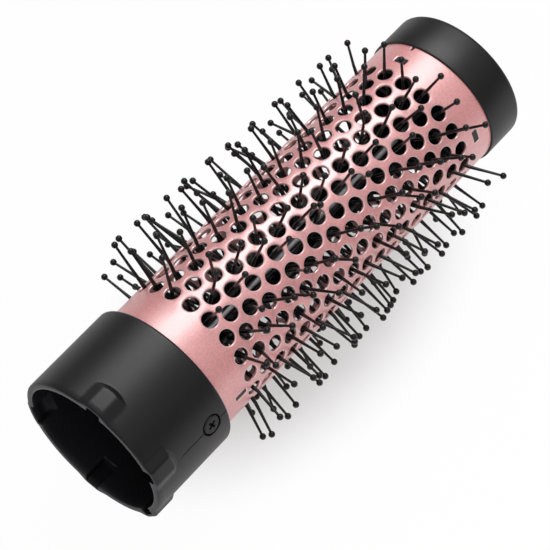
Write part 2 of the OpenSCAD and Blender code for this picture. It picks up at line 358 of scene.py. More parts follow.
def shape_tree(name, inputs):
    """New geometry node tree. Inputs are (name, socket type) pairs after the geometry."""
    tree = bpy.data.node_groups.new(name, "GeometryNodeTree")
    tree.interface.new_socket("Geometry", in_out="INPUT", socket_type="NodeSocketGeometry")
    for label, kind in inputs:
        tree.interface.new_socket(label, in_out="INPUT", socket_type="NodeSocket" + kind)
    tree.interface.new_socket("Geometry", in_out="OUTPUT", socket_type="NodeSocketGeometry")
    source = tree.nodes.new("NodeGroupInput").outputs
    target = tree.nodes.new("NodeGroupOutput").inputs[0]
    return tree, Nodes(tree), source, target


def end_tree(n, shape, material, target):
    """Ends a tree in real, smooth geometry of one finish."""
    plain = n.make("GeometryNodeRealizeInstances", {"Geometry": shape})
    plain = n.make("GeometryNodeSetShadeSmooth", {"Geometry": plain})
    plain = n.make("GeometryNodeSetMaterial", {"Geometry": plain, "Material": material})
    n.tree.links.new(plain, target)


def run_tree(piece, tree, values):
    """Runs a tree on an object with inputs given by name, and leaves the plain mesh."""
    modifier = piece.modifiers.new(tree.name, "NODES")
    modifier.node_group = tree
    for item in tree.interface.items_tree:
        if item.item_type == "SOCKET" and item.in_out == "INPUT" and item.name in values:
            modifier[item.identifier] = values[item.name]
    return settle(piece)


# Finishes


def new_finish(name):
    material = bpy.data.materials.new(name)
    material.use_nodes = True
    tree = material.node_tree
    return material, Nodes(tree), tree.nodes.get("Principled BSDF")


def object_place(n):
    return n.add("ShaderNodeTexCoord").outputs["Object"]


def stretched(n, place, x, y, z):
    """Object coordinates scaled along each axis, so that a pattern gets a grain."""
    return n.make("ShaderNodeMapping", {"Vector": place, "Scale": (x, y, z)})


def noise(n, place, scale, detail=2, roughness=0.5):
    return n.add("ShaderNodeTexNoise", {"Vector": place, "Scale": scale, "Detail": detail,
                                        "Roughness": roughness}).outputs["Fac"]


def bump(n, shader, height, strength, distance):
    """Roughens a shader's surface with a pattern."""
    n.set(shader.inputs["Normal"], n.make("ShaderNodeBump", {"Height": height, "Strength": strength,
                                                             "Distance": distance}))


def blend_colour(n, factor, low, high):
    """One colour or socket turning into another by a factor."""
    return n.add("ShaderNodeMix", {"Factor": factor, 6: low, 7: high}, data_type="RGBA").outputs[2]


def tinted(n, rgb, pattern, share):
    """A colour that a pattern lightens and darkens by a share."""
    low = [max(0, c * (1 - share)) for c in rgb] + [1]
    high = [min(1, c * (1 + share)) for c in rgb] + [1]
    return blend_colour(n, pattern, low, high)


def band_mask(n, value, low, high, soft):
    """1 between two values of a socket, 0 outside them, with soft ends."""
    return n.times(n.ramp(value, low - soft, low + soft), n.ramp(value, high - soft, high + soft, 1.0, 0.0))


def off_axis(n, place):
    """Distance of a place from the barrel's axis."""
    _, y, z = n.parts(place)
    return n.vec("LENGTH", n.xyz(0.0, y, z))


def rose_finish(rgb, radius):
    """Satin anodised aluminium with a fine blasted grain, a painted highlight along the holes' rims, and
    painted light that makes the inner wall paler.
    """
    material, n, shader = new_finish("rose_aluminium")
    place = object_place(n)
    grain = noise(n, stretched(n, place, 0.7, 1, 1), 2400, 2, 0.6)
    speckle = n.ramp(grain, 0.3, 0.7)
    cloud = noise(n, place, 160, 2)
    colour = tinted(n, rgb, n.plus(n.times(speckle, 0.7), n.times(cloud, 0.3)), 0.22)
    out = off_axis(n, place)
    # Painted highlight: the rounding of every hole's rim is coloured near white below.
    edge = band_mask(n, out, radius - 0.00022, radius - 0.00005, 0.00004)
    # Painted light: the tube's inner wall is coloured paler than its outside.
    inside = band_mask(n, out, 0.0, radius - 0.0006, 0.0001)
    colour = blend_colour(n, n.times(edge, 0.8), colour, (1.0, 0.88, 0.86, 1))
    colour = blend_colour(n, inside, colour, (0.95, 0.48, 0.46, 1))
    rough = n.minus(n.ramp(grain, 0.0, 1.0, 0.56, 0.70), n.times(edge, 0.3))
    n.fill(shader, {"Base Color": colour, "Roughness": rough, "Metallic": 0.35,
                    "Coat Weight": 1.0, "Coat IOR": 2.3, "Coat Roughness": 0.32})
    bump(n, shader, grain, 0.35, 0.00006)
    return material


def shell_finish(name, rgb, mouth_radius=0.0):
    """Matte moulded plastic with a fine spark-eroded grain, smoother inside a mouth, where painted light
    also makes it a little lighter.
    """
    material, n, shader = new_finish(name)
    place = object_place(n)
    grain = noise(n, place, 2600, 3, 0.55)
    cloud = noise(n, place, 90, 2)
    colour = tinted(n, rgb, cloud, 0.15)
    rough = n.ramp(grain, 0.0, 1.0, 0.34, 0.48)
    if mouth_radius:
        inside = n.ramp(off_axis(n, place), mouth_radius + 0.0001, mouth_radius + 0.0006, 1.0, 0.0)
        rough = n.minus(rough, n.times(inside, 0.1))
        # Painted light: the mouth's inside is coloured a little lighter, standing in for light shining out
        # of the barrel.
        colour = blend_colour(n, inside, colour, (0.010, 0.010, 0.012, 1))
    n.fill(shader, {"Base Color": colour, "Roughness": rough, "IOR": 1.48})
    bump(n, shader, grain, 0.3, 0.00005)
    return material


def nylon_finish(rgb):
    """Glossy moulded nylon with faint flow marks."""
    material, n, shader = new_finish("black_nylon")
    place = object_place(n)
    flow = noise(n, place, 900, 2)
    n.fill(shader, {"Base Color": tinted(n, rgb, flow, 0.2),
                    "Roughness": n.ramp(flow, 0.0, 1.0, 0.15, 0.25), "IOR": 1.46})
    bump(n, shader, flow, 0.10, 0.00006)
    return material


def steel_finish(name, rgb, low, high):
    """Turned or plated steel with a fine brushed grain."""
    material, n, shader = new_finish(name)
    place = object_place(n)
    brushed = noise(n, stretched(n, place, 0.08, 1, 1), 7000, 2)
    n.fill(shader, {"Base Color": tinted(n, rgb, brushed, 0.12),
                    "Roughness": n.ramp(brushed, 0.0, 1.0, low, high), "Metallic": 1.0})
    bump(n, shader, brushed, 0.10, 0.00004)
    return material


FINISHES = {}


def finish(name):
    """A finish by name, made when it is first asked for, in the colours of the settings."""
    scene = bpy.context.scene
    c = scene.brush_finish
    makers = {
        "rose_aluminium": lambda: rose_finish(c.rose, scene.brush_barrel.radius),
        "socket_plastic": lambda: shell_finish("socket_plastic", c.shell, scene.brush_socket.mouth),
        "cap_plastic": lambda: shell_finish("cap_plastic", c.shell),
        "inner_plastic": lambda: shell_finish("inner_plastic", c.inner),
        "black_nylon": lambda: nylon_finish(c.nylon),
        "bright_steel": lambda: steel_finish("bright_steel", c.steel, 0.25, 0.4),
        "black_steel": lambda: steel_finish("black_steel", c.black_steel, 0.4, 0.5),
    }
    if name not in FINISHES:
        FINISHES[name] = makers[name]()
    return FINISHES[name]


# Barrel

# Grid cells of one hole's patch, along the tube and round it
CELL_ROWS = 5
CELL_COLUMNS = 10

# Grid lines of the plain ends. Windows, slits and screw holes lie between some of them
REAR_LINES = (0.0191, 0.0201, 0.0211, 0.0221, 0.0231, 0.0241, 0.0264, 0.0285, 0.0302, 0.0316, 0.0328,
              0.0340, 0.0352)
FRONT_LINES = (0.1290, 0.1298, 0.1309, 0.1320, 0.1332, 0.1346, 0.1353, 0.1364, 0.1375, 0.1386, 0.1393,
               0.1406)

REAR_WINDOW_TURN = math.radians(64)
REAR_WINDOW_GAP = 0.00025
FRONT_WINDOW_ANGLE = math.radians(21.5)
FRONT_WINDOW_INSET = 0.0054
SLIT = (0.003, 0.00075)
SLIT_COVERED = 0.0004
SCREW_HOLE = 0.003
OPEN_LIP = 0.00012

# Each opening's first and last grid line, and the grid columns that it takes on either side
SCREW_SPAN = (1, 6, 4)
REAR_WINDOW_SPAN = (10, 14, 2)
FRONT_WINDOW_SPAN = (1, 5, 4)
SLIT_SPAN = (7, 11, 2)


def patch_border(us, vs):
    """Corner-matched border of a patch, from the middle of its far side round towards +v.

    us and vs are the patch's own grid lines, and vs has an odd number of them."""
    mid = len(vs) // 2
    points = [(us[-1], v) for v in vs[mid:]]
    points += [(u, vs[-1]) for u in reversed(us[:-1])]
    points += [(us[0], v) for v in reversed(vs[:-1])]
    points += [(u, vs[0]) for u in us[1:]]
    points += [(us[-1], v) for v in vs[1:mid]]
    return points


def round_edge(border, centre, diameter):
    """A round hole's edge matched to a border, as (point, direction away from the hole) pairs."""
    edge = []
    for k in range(len(border)):
        a = TURN * k / len(border)
        away = Vector((math.cos(a), math.sin(a)))
        edge.append((Vector(centre) + away * diameter / 2, away))
    return edge


def square_edge(border, centre, long_u, long_v, corner=0.00006):
    """A window's edge matched to a border, as (point, direction away from the window) pairs."""
    us = [p[0] for p in border]
    vs = [p[1] for p in border]
    edge = []
    for u, v in border:
        su = 2 * (u - min(us)) / (max(us) - min(us)) - 1
        sv = 2 * (v - min(vs)) / (max(vs) - min(vs)) - 1
        on_u, on_v = abs(su) > 0.999, abs(sv) > 0.999
        pull = corner if on_u and on_v else 0
        away = Vector((su if on_u else 0, sv if on_v else 0)).normalized()
        point = Vector((su * (long_u / 2 - pull), sv * (long_v / 2 - pull)))
        edge.append((Vector(centre) + point, away))
    return edge


def hole_patch(bm, border, edge, rim, wall):
    """Sheet between a border and a hole, with a rounded rim, the hole's wall and the inner sheet."""
    border = [Vector(p) for p in border]
    arc = 0.29 * rim  # Where the middle of a rounding of this radius lies

    def ring(away_by, depth):
        return [bm.verts.new((*(p + away * away_by), -depth)) for p, away in edge]

    halfway = [bm.verts.new((*mix(p + away * rim, b, 0.42), 0)) for (p, away), b in zip(edge, border)]
    outer = [bm.verts.new((*b, 0)) for b in border]
    rounded = [ring(rim, 0), ring(arc, arc), ring(0, rim), ring(0, wall - rim * 0.5), ring(rim * 0.5, wall)]
    inner = [bm.verts.new((*b, -wall)) for b in border]
    loft(bm, [outer, halfway, *rounded, inner])


def cell_mesh(settings):
    """One hole of the barrel with its share of the tube, drawn flat round the origin."""
    bm = bmesh.new()
    half_u = settings.pitch / 2
    half_v = math.pi / settings.holes * settings.radius
    us = [half_u * (2 * k / CELL_ROWS - 1) for k in range(CELL_ROWS + 1)]
    vs = [half_v * (2 * k / CELL_COLUMNS - 1) for k in range(CELL_COLUMNS + 1)]
    border = patch_border(us, vs)
    hole_patch(bm, border, round_edge(border, (0, 0), settings.hole), settings.rim, settings.wall)
    return new_object("hole_cell", new_mesh("hole_cell", bm))


def first_column(settings):
    """Angle of the first grid column, and the step from one column to the next."""
    step = TURN / (settings.holes * CELL_COLUMNS)
    return settings.first_angle - CELL_COLUMNS / 2 * step, step


def flat_band(bm, settings, rows, openings, open_row):
    """A plain end of the tube, drawn flat, on the hole field's own grid.

    openings are (first row, last row, middle column, columns either side, edge maker) and open_row
    is the row at the tube's open end."""
    columns = settings.holes * CELL_COLUMNS
    first, step = first_column(settings)
    radius, wall = settings.radius, settings.wall

    def place(c):
        return (first + step * c) * radius

    taken = set()
    for low, high, middle, reach, edge_maker in openings:
        us = rows[low:high + 1]
        vs = [place(c) for c in range(middle - reach, middle + reach + 1)]
        border = patch_border(us, vs)
        hole_patch(bm, border, edge_maker(border), settings.rim, wall)
        taken |= {(r, c % columns) for r in range(low, high) for c in range(middle - reach, middle + reach)}
    ends = []
    for depth in (0, wall):
        grid = [[bm.verts.new((u, place(c), -depth)) for c in range(columns + 1)] for u in rows]
        for r in range(len(rows) - 1):
            for c in range(columns):
                if (r, c) in taken:
                    continue
                quad = [grid[r][c], grid[r + 1][c], grid[r + 1][c + 1], grid[r][c + 1]]
                bm.faces.new(quad if depth == 0 else quad[::-1])
        ends.append(grid[open_row])
    for vert in ends[0]:
        vert.co.z -= OPEN_LIP
    loft(bm, ends if open_row else ends[::-1], closed=False)


def column_of(settings, angle):
    """Nearest grid column to an angle."""
    first, step = first_column(settings)
    return round((angle - first) / step)


def barrel_bands(settings, cap_start):
    """Both plain ends of the barrel, drawn flat, with the screw holes, windows and slits."""
    bm = bmesh.new()
    half = settings.pitch / 2
    field_start = settings.first_ring - half
    field_end = settings.first_ring + (settings.rings - 1) * settings.pitch + half
    socket = bpy.context.scene.brush_socket
    long_side, short_side = settings.window_length, settings.window_width

    def opening(span, angle, edge_maker):
        low, high, reach = span
        return low, high, column_of(settings, angle), reach, edge_maker

    def window(span, angle, middle_u, sides):
        centre = (middle_u, angle * settings.radius)
        return opening(span, angle, lambda border: square_edge(border, centre, *sides))

    def screw_hole(angle):
        centre = (socket.screw_place, angle * settings.radius)
        return opening(SCREW_SPAN, angle, lambda border: round_edge(border, centre, SCREW_HOLE))

    openings = []
    for k in range(2):
        openings.append(screw_hole(socket.screw_angle + math.pi * k))
        angle = settings.first_angle - REAR_WINDOW_TURN + math.pi * k
        middle_u = field_start - long_side / 2 - REAR_WINDOW_GAP
        openings.append(window(REAR_WINDOW_SPAN, angle, middle_u, (long_side, short_side)))
    flat_band(bm, settings, [near_end("barrel"), *REAR_LINES, field_start], openings, 0)

    openings = [window(FRONT_WINDOW_SPAN, FRONT_WINDOW_ANGLE + TURN / 4 * k,
                       cap_start - FRONT_WINDOW_INSET, (short_side, long_side)) for k in range(4)]
    openings += [window(SLIT_SPAN, FRONT_WINDOW_ANGLE + math.pi * k, cap_start + SLIT_COVERED, SLIT)
                 for k in range(2)]
    rows = [field_end, *FRONT_LINES, far_end("barrel")]
    flat_band(bm, settings, rows, openings, len(rows) - 1)
    return new_mesh("barrel_shell", bm)


def barrel_tree():
    """Spreads the hole cell over the tube, adds the plain ends, and rolls the flat sheet up."""
    tree, n, source, target = shape_tree("Drilled tube", [
        ("Cell", "Object"), ("Rings", "Int"), ("Holes", "Int"), ("Radius", "Float"), ("Pitch", "Float"),
        ("First ring", "Float"), ("First angle", "Float"), ("Ring turn", "Float"), ("Finish", "Material")])
    index = n.make("GeometryNodeInputIndex")
    ring = n.calc("FLOOR", n.calc("DIVIDE", index, source["Holes"]))
    around = n.minus(index, n.times(ring, source["Holes"]))
    angle = n.times(around, n.calc("DIVIDE", TURN, source["Holes"]))
    angle = n.plus(angle, source["First angle"])
    angle = n.minus(angle, n.times(ring, source["Ring turn"]))
    x = n.plus(source["First ring"], n.times(ring, source["Pitch"]))
    points = n.make("GeometryNodePoints", {
        "Count": n.times(source["Rings"], source["Holes"]),
        "Position": n.xyz(x, n.times(angle, source["Radius"]), 0.0)})
    cell = n.add("GeometryNodeObjectInfo", {"Object": source["Cell"]}).outputs["Geometry"]
    cells = n.make("GeometryNodeInstanceOnPoints", {"Points": points, "Instance": cell})
    cells = n.make("GeometryNodeRealizeInstances", {"Geometry": cells})
    sheet = n.add("GeometryNodeJoinGeometry")
    n.tree.links.new(cells, sheet.inputs[0])
    n.tree.links.new(source["Geometry"], sheet.inputs[0])
    u, v, w = n.parts(n.make("GeometryNodeInputPosition"))
    rolled = n.polar(u, n.calc("DIVIDE", v, source["Radius"]), n.plus(w, source["Radius"]))
    tube = n.make("GeometryNodeSetPosition", {"Geometry": sheet.outputs[0], "Position": rolled})
    tube = n.make("GeometryNodeMergeByDistance", {"Geometry": tube, "Distance": 0.000004})
    end_tree(n, tube, source["Finish"], target)
    return tree


class BRUSH_OT_barrel(bpy.types.Operator):
    """Builds the drilled barrel"""

    bl_idname = "brush.barrel"
    bl_label = "Build barrel"

    def execute(self, context):
        s = context.scene.brush_barrel
        cell = cell_mesh(s)
        barrel = new_object("barrel_shell", barrel_bands(s, near_end("end_cap")))
        barrel = run_tree(barrel, barrel_tree(), {
            "Cell": cell, "Rings": s.rings, "Holes": s.holes, "Radius": s.radius, "Pitch": s.pitch,
            "First ring": s.first_ring, "First angle": s.first_angle, "Ring turn": s.ring_turn,
            "Finish": finish("rose_aluminium")})
        bpy.data.objects.remove(cell, do_unlink=True)
        sharpen(barrel, 50)
        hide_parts("barrel")
        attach(barrel, "root")
        return {"FINISHED"}


# Pins

# A strip's spine, as radii from the barrel's axis
SPINE_LOW = 0.0032
SPINE_HIGH = 0.0062
SPINE_THICKNESS = 0.0012
SPINE_ROUND = 0.0003

# A pin's root in the spine, and how it bends where it leaves the barrel
ROOT_RADIUS = 0.0057
ROOT_STAGGER = 0.0012
BEND_RISE = 0.0003
BEND_ROUND = 0.006
BEND_POINTS = 6

# Detail of a pin: points along its stem, sides round it, and the ball's grid
STEM_POINTS = 12
STEM_SIDES = 8
BALL_SIDES = 10
BALL_RINGS = 7

# How a tip's angle and reach differ from the straight line through its hole
TIP_GAIN = 1.1
TIP_STRAY = 0.028
REACH_STRAY = 0.0003

# How far past the CAD's box the balls may come, as shares of its half sides
SIDE_SHARE = 1.05
TOP_SHARE = 1.02


def comb_spine(start, end):
    """The spine that a row of pins stands on, drawn on the +Z side, with rounded edges."""
    bm = bmesh.new()
    half, low, high, r = SPINE_THICKNESS / 2, SPINE_LOW, SPINE_HIGH, SPINE_ROUND
    outline = []
    for cy, cz, a0 in ((half - r, high - r, 0), (-half + r, high - r, 90), (-half + r, low + r, 180),
                       (half - r, low + r, 270)):
        outline += round_corner(cy, cz, r, a0, a0 + 90, 3)
    loops = []
    middle = Vector((0, (low + high) / 2))
    for x, shrink in ((start, 0.86), (start + r, 1), (end - r, 1), (end, 0.86)):
        loops.append([bm.verts.new((x, *(middle + (Vector(p) - middle) * shrink))) for p in outline])
    loft(bm, loops)
    bm.faces.new(loops[0])
    bm.faces.new(loops[-1][::-1])
    face_out(bm)
    return new_mesh("comb_spine", bm)


def pin_tree():
    """Grows two rows of bent, tapered, ball-tipped pins from a spine, through the barrel's holes."""
    tree, n, source, target = shape_tree("Pin strip", [
        ("Strip", "Int"), ("Strips", "Int"), ("Rings", "Int"), ("Holes", "Int"), ("First ring", "Float"),
        ("Pitch", "Float"), ("First angle", "Float"), ("Ring turn", "Float"), ("Barrel radius", "Float"),
        ("Reach", "Float"), ("Stem", "Float"), ("Neck", "Float"), ("Ball", "Float"), ("Fan", "Float"),
        ("Drift", "Float"), ("Lift", "Float"), ("Lift angle", "Float"), ("Sparse", "Int"),
        ("Stray", "Float"), ("Floor", "Float"), ("Side", "Float"), ("Top", "Float"), ("Seed", "Int"),
        ("Finish", "Material")])
    index = n.make("GeometryNodeInputIndex")
    ring = n.calc("FLOOR", n.calc("DIVIDE", index, 2.0))
    side = n.minus(n.times(n.calc("MODULO", index, 2.0), 2.0), 1.0)
    last = n.minus(source["Rings"], 1.0)
    along = n.calc("DIVIDE", n.minus(n.times(ring, 2.0), last), last)
    x = n.plus(source["First ring"], n.times(ring, source["Pitch"]))
    step = n.calc("DIVIDE", TURN, source["Holes"])
    lean = n.minus(source["First angle"], n.times(ring, source["Ring turn"]))
    lean = n.calc("WRAP", lean, step, 0.0)
    behind = n.times(n.minus(side, 1.0), 0.5, step)
    lean = n.plus(lean, behind)
    turned = n.times(source["Strip"], n.calc("DIVIDE", TURN, source["Strips"]))
    seed = n.plus(source["Seed"], n.times(source["Strip"], 17.0))

    def chance(salt):
        salted = n.plus(seed, float(salt))
        node = n.add("FunctionNodeRandomValue", {2: -1.0, 3: 1.0, "ID": index, "Seed": salted})
        return node.outputs[1]

    stagger = n.times(side, ROOT_STAGGER)
    root = n.polar(n.plus(x, stagger), turned, ROOT_RADIUS)
    bend = n.polar(x, n.plus(turned, lean), n.plus(source["Barrel radius"], BEND_RISE))
    tip_lean = n.plus(n.times(lean, TIP_GAIN), n.times(chance(2), TIP_STRAY))

    # 1 on the raised side and 0 opposite, where the end rings only splay
    out = n.minus(n.plus(turned, tip_lean), source["Lift angle"])
    raised = n.times(n.plus(n.calc("COSINE", out), 1.0), 0.5)
    raised = n.times(raised, raised)
    splay = n.times(along, along, along, source["Fan"])
    # Raised pins lean to the socket over the middle of the barrel, and to the cap at its end
    to_cap = n.ramp(along, 0.2, 1.0, -1.0, 1.6)
    upright = n.ramp(along, -1.0, -0.2, 1.1, 0.0)
    drift = n.times(n.plus(to_cap, upright), source["Drift"])
    shift = n.plus(n.times(raised, n.minus(drift, splay)), splay)
    tip_x = n.plus(n.minus(x, stagger), shift, n.times(chance(1), source["Stray"]))
    lift = n.times(n.minus(0.2, along), n.times(raised, source["Lift"]))
    reach = n.plus(source["Reach"], lift, n.times(chance(3), REACH_STRAY))
    tip = n.polar(tip_x, n.plus(turned, tip_lean), reach)
    tx, ty, tz = n.parts(tip)
    half_ball = n.times(source["Ball"], 0.5)
    tz = n.calc("MAXIMUM", tz, n.plus(source["Floor"], half_ball))
    tz = n.calc("MINIMUM", tz, n.minus(source["Top"], half_ball))
    tip = n.xyz(tx, n.calc("MINIMUM", ty, n.minus(source["Side"], half_ball)), tz)

    points = n.make("GeometryNodePoints", {"Count": n.times(source["Rings"], 2.0)})
    for label, value in (("root", root), ("bend", bend), ("tip", tip)):
        points = n.make("GeometryNodeStoreNamedAttribute",
                        {"Geometry": points, "Name": label, "Value": value}, data_type="FLOAT_VECTOR")
    # The second row's pins step on by a ring from strip to strip
    turn_taken = n.plus(ring, n.times(source["Strip"], 2.0), 1.0)
    skipped = n.calc("GREATER_THAN", n.calc("MODULO", turn_taken, source["Sparse"]), 0.5)
    skipped = n.times(skipped, n.calc("GREATER_THAN", side, 0.0))
    points = n.make("GeometryNodeDeleteGeometry", {"Geometry": points, "Selection": skipped})
    line = n.make("GeometryNodeCurvePrimitiveLine", {"Start": (0, 0, 0), "End": (0, 0, 0.01)})
    line = n.make("GeometryNodeResampleCurve", {"Curve": line, "Count": 3})
    stems = n.make("GeometryNodeInstanceOnPoints", {"Points": points, "Instance": line})
    stems = n.make("GeometryNodeRealizeInstances", {"Geometry": stems})
    factor = n.add("GeometryNodeSplineParameter").outputs["Factor"]
    stems = n.make("GeometryNodeStoreNamedAttribute",
                   {"Geometry": stems, "Name": "share", "Value": factor}, data_type="FLOAT")

    def stored(label, kind="FLOAT_VECTOR"):
        return n.make("GeometryNodeInputNamedAttribute", {"Name": label}, data_type=kind)

    # Three points, the root, the hole and the tip, with the bend at the hole rounded off
    t = stored("share", "FLOAT")
    rest = n.minus(1.0, t)
    twice = n.minus(n.times(t, 2.0), 1.0)
    place = n.vec("ADD", n.scale(stored("root"), n.times(rest, twice, -1.0)),
                  n.scale(stored("tip"), n.times(t, twice)))
    place = n.vec("ADD", place, n.scale(stored("bend"), n.times(rest, t, 4.0)))
    stems = n.make("GeometryNodeSetPosition", {"Geometry": stems, "Position": place})
    stems = n.make("GeometryNodeFilletCurve", {"Curve": stems, "Radius": BEND_ROUND, "Limit Radius": True,
                                               "Count": BEND_POINTS}, mode="POLY")
    stems = n.make("GeometryNodeResampleCurve", {"Curve": stems, "Count": STEM_POINTS})
    along_pin = n.add("GeometryNodeSplineParameter").outputs["Factor"]
    outer = n.ramp(along_pin, 0.55, 0.97, 1.0, 0.0)
    inner = n.ramp(along_pin, 0.2, 0.5, -0.25, 0.0)
    thick = n.times(n.minus(source["Stem"], source["Neck"]), n.times(outer, outer))
    thick = n.plus(source["Neck"], thick)
    width = n.times(thick, n.plus(inner, 1.0), 0.5)
    ring_curve = n.make("GeometryNodeCurvePrimitiveCircle", {"Resolution": STEM_SIDES, "Radius": 1.0})
    stems = n.make("GeometryNodeCurveToMesh", {"Curve": stems, "Profile Curve": ring_curve, "Scale": width,
                                               "Fill Caps": True})
    ball = n.make("GeometryNodeMeshUVSphere", {"Segments": BALL_SIDES, "Rings": BALL_RINGS,
                                               "Radius": n.times(source["Ball"], 0.5)})
    tips = n.make("GeometryNodeSetPosition", {"Geometry": points, "Position": stored("tip")})
    balls = n.make("GeometryNodeInstanceOnPoints", {"Points": tips, "Instance": ball})
    rolled = n.xyz(n.times(turned, -1.0), 0.0, 0.0)
    spine = n.make("GeometryNodeTransform", {"Geometry": source["Geometry"], "Rotation": rolled})
    everything = n.add("GeometryNodeJoinGeometry")
    for part in (balls, stems, spine):
        n.tree.links.new(part, everything.inputs[0])
    end_tree(n, everything.outputs[0], source["Finish"], target)
    return tree


class BRUSH_OT_pins(bpy.types.Operator):
    """Builds the strips of ball-tipped pins"""

    bl_idname = "brush.pins"
    bl_label = "Build pin strips"

    def execute(self, context):
        b, p = context.scene.brush_barrel, context.scene.brush_pins
        tree = pin_tree()
        sizes = {
            "Strips": p.strips, "Rings": b.rings, "Holes": b.holes, "First ring": b.first_ring,
            "Pitch": b.pitch, "First angle": b.first_angle, "Ring turn": b.ring_turn,
            "Barrel radius": b.radius, "Reach": p.reach, "Stem": p.stem, "Neck": p.neck, "Ball": p.ball,
            "Fan": p.fan, "Drift": p.drift, "Lift": p.lift, "Lift angle": p.lift_angle,
            "Sparse": p.sparse, "Stray": p.stray, "Floor": cad_box[0].z,
            "Side": cad_box[1].y * SIDE_SHARE, "Top": cad_box[1].z * TOP_SHARE, "Seed": p.seed,
            "Finish": finish("black_nylon")}
        for k in range(p.strips):
            node = f"bristle_strip_{k + 1:02d}"
            spine = comb_spine(near_end("bristle_strip_01"), far_end("bristle_strip_01"))
            strip = new_object(f"pin_strip_{k + 1:02d}", spine)
            strip = run_tree(strip, tree, {"Strip": k, **sizes})
            sharpen(strip, 60)
            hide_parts(node)
            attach(strip, "root")
        return {"FINISHED"}


# Socket

SOCKET_END = far_end("socket")
SOCKET_SIDES = 720

# Edge roundings, at the mouth's outer and inner rim and at the far end
OUTER_RIM = 0.0005
INNER_RIM = 0.0003
FAR_ROUND = 0.0009

# A lug's arched end and the slope behind it, and the roundings of its top, its slope and its foot
LUG_ARCH = 0.0016
LUG_RAMP = 0.0013
LUG_TOP_BLEND = 0.00035
LUG_RAMP_BLEND = 0.0004
LUG_FOOT_BLEND = 0.0002

# The pocket behind a lug, the softness of its long edges, and the places between which it ends
POCKET_DEPTH = 0.0020
POCKET_SOFT = 0.0003
POCKET_END = (0.0066, 0.0074)

# The key pocket in the bore and its bulge outside, and the half widths and places where each ends
KEY_DEPTH = 0.00115
KEY_DEPTH_HALF = (0.0035, 0.0040)
KEY_DEPTH_END = (0.0056, 0.0062)
KEY_RISE = 0.00035
KEY_RISE_HALF = (0.0040, 0.0049)
KEY_RISE_END = (0.0062, 0.0076)

SEAM_DEPTH = 0.00013
SEAM_HALF = 0.0001

# The shoulder behind the mouth, and the bore round the barrel
SHOULDER_RADIUS = 0.0185
SHOULDER_END = 0.0175
SEAT_RADIUS = 0.0201

# Room round a screw's head and its shank, and the flare of the recess at the surface
HEAD_GAP = 0.0004
SHANK_GAP = 0.00015
RECESS_FLARE = 0.00045


def blend_in(value, low, high):
    """Smooth step from 0 at low to 1 at high."""
    t = min(1, max(0, (value - low) / (high - low)))
    return t * t * (3 - 2 * t)


def nearest(angle, places):
    """Signed angle to the nearest of several angles."""
    gaps = [(angle - p + math.pi) % TURN - math.pi for p in places]
    return min(gaps, key=abs)


def spaced(stops):
    """Grid lines from (place, steps to the next place) pairs."""
    lines = []
    for (a, steps), (b, _) in zip(stops, stops[1:]):
        lines += [mix(a, b, k / steps) for k in range(steps)]
    return lines + [stops[-1][0]]


def socket_lugs(s):
    """Angles of the four lugs, which leave out two of six even places."""
    return [s.lug_angle + TURN / 6 * k for k in (0, -1, -2, 3)]


def rounding(size, depth):
    """How far a rounded edge of a size falls back at a depth from the end."""
    if depth >= size:
        return 0
    return size - math.sqrt(max(0, size ** 2 - (size - depth) ** 2))


def soft_min(a, b, blend):
    """The lower of two values, with the crease between them rounded."""
    near = max(blend - abs(a - b), 0) / blend
    return min(a, b) - near * near * blend / 4


def lug_radius(s, x, angle):
    """Top of the nearest lug: flat across, sloping sides, and an arched end that slopes down."""
    off = abs(nearest(angle, socket_lugs(s)))
    half, foot = s.lug_top / 2, s.lug_width / 2
    if off * s.radius > foot + 0.001:
        return 0
    top = s.radius + s.lug_rise
    side = math.sqrt(s.radius ** 2 - foot ** 2) - 0.0001
    steep = (top - side) / (foot - half)
    flat = top / math.cos(min(off, 1))
    slope = (top + steep * half) / (math.cos(off) + steep * math.sin(off))
    arch = (foot ** 2 / LUG_ARCH + LUG_ARCH) / 2
    across = min(foot, s.radius * math.sin(min(off, 1)))
    end = s.lug_length - arch + math.sqrt(arch ** 2 - across ** 2)
    ramp = s.radius + s.lug_rise * (end - x) / LUG_RAMP
    return soft_min(soft_min(flat, slope, LUG_TOP_BLEND), ramp, LUG_RAMP_BLEND)


def faded(size, across, half, x, end):
    """A depth or height that fades out between two half widths, and between two places along."""
    return size * (1 - blend_in(across, *half)) * (1 - blend_in(x, *end))


def outer_radius(s, x, angle):
    """Outside of the socket: a plain drum with raised lugs, rounded mouth rim and far end."""
    key = abs(nearest(angle, [s.key_angle])) * s.radius
    radius = s.radius + faded(KEY_RISE, key, KEY_RISE_HALF, x, KEY_RISE_END)
    if x < s.lug_length + 0.0006:
        radius = -soft_min(-radius, -lug_radius(s, x, angle), LUG_FOOT_BLEND)
    seam = min(abs(nearest(angle, [s.screw_angle, s.screw_angle + math.pi])) * s.radius, SEAM_HALF)
    if x > s.lug_length + 0.0005:
        radius -= SEAM_DEPTH * (1 - seam / SEAM_HALF)
    # The mouth's outer rim is rounded and a little bevelled
    radius -= 0.55 * max(0, OUTER_RIM - x) + 0.45 * rounding(OUTER_RIM, x)
    return radius - rounding(FAR_ROUND, SOCKET_END - x)


def inner_radius(s, x, angle):
    """Inside of the mouth: a plain bore with a pocket behind each lug, and the wide key pocket."""
    across = abs(nearest(angle, socket_lugs(s))) * s.radius
    half = s.lug_top / 2
    deep = faded(POCKET_DEPTH, across, (half - POCKET_SOFT, half + POCKET_SOFT), x, POCKET_END)
    key = abs(nearest(angle, [s.key_angle])) * s.radius
    wide = faded(KEY_DEPTH, key, KEY_DEPTH_HALF, x, KEY_DEPTH_END)
    return s.mouth + max(deep, wide) + rounding(INNER_RIM, x)


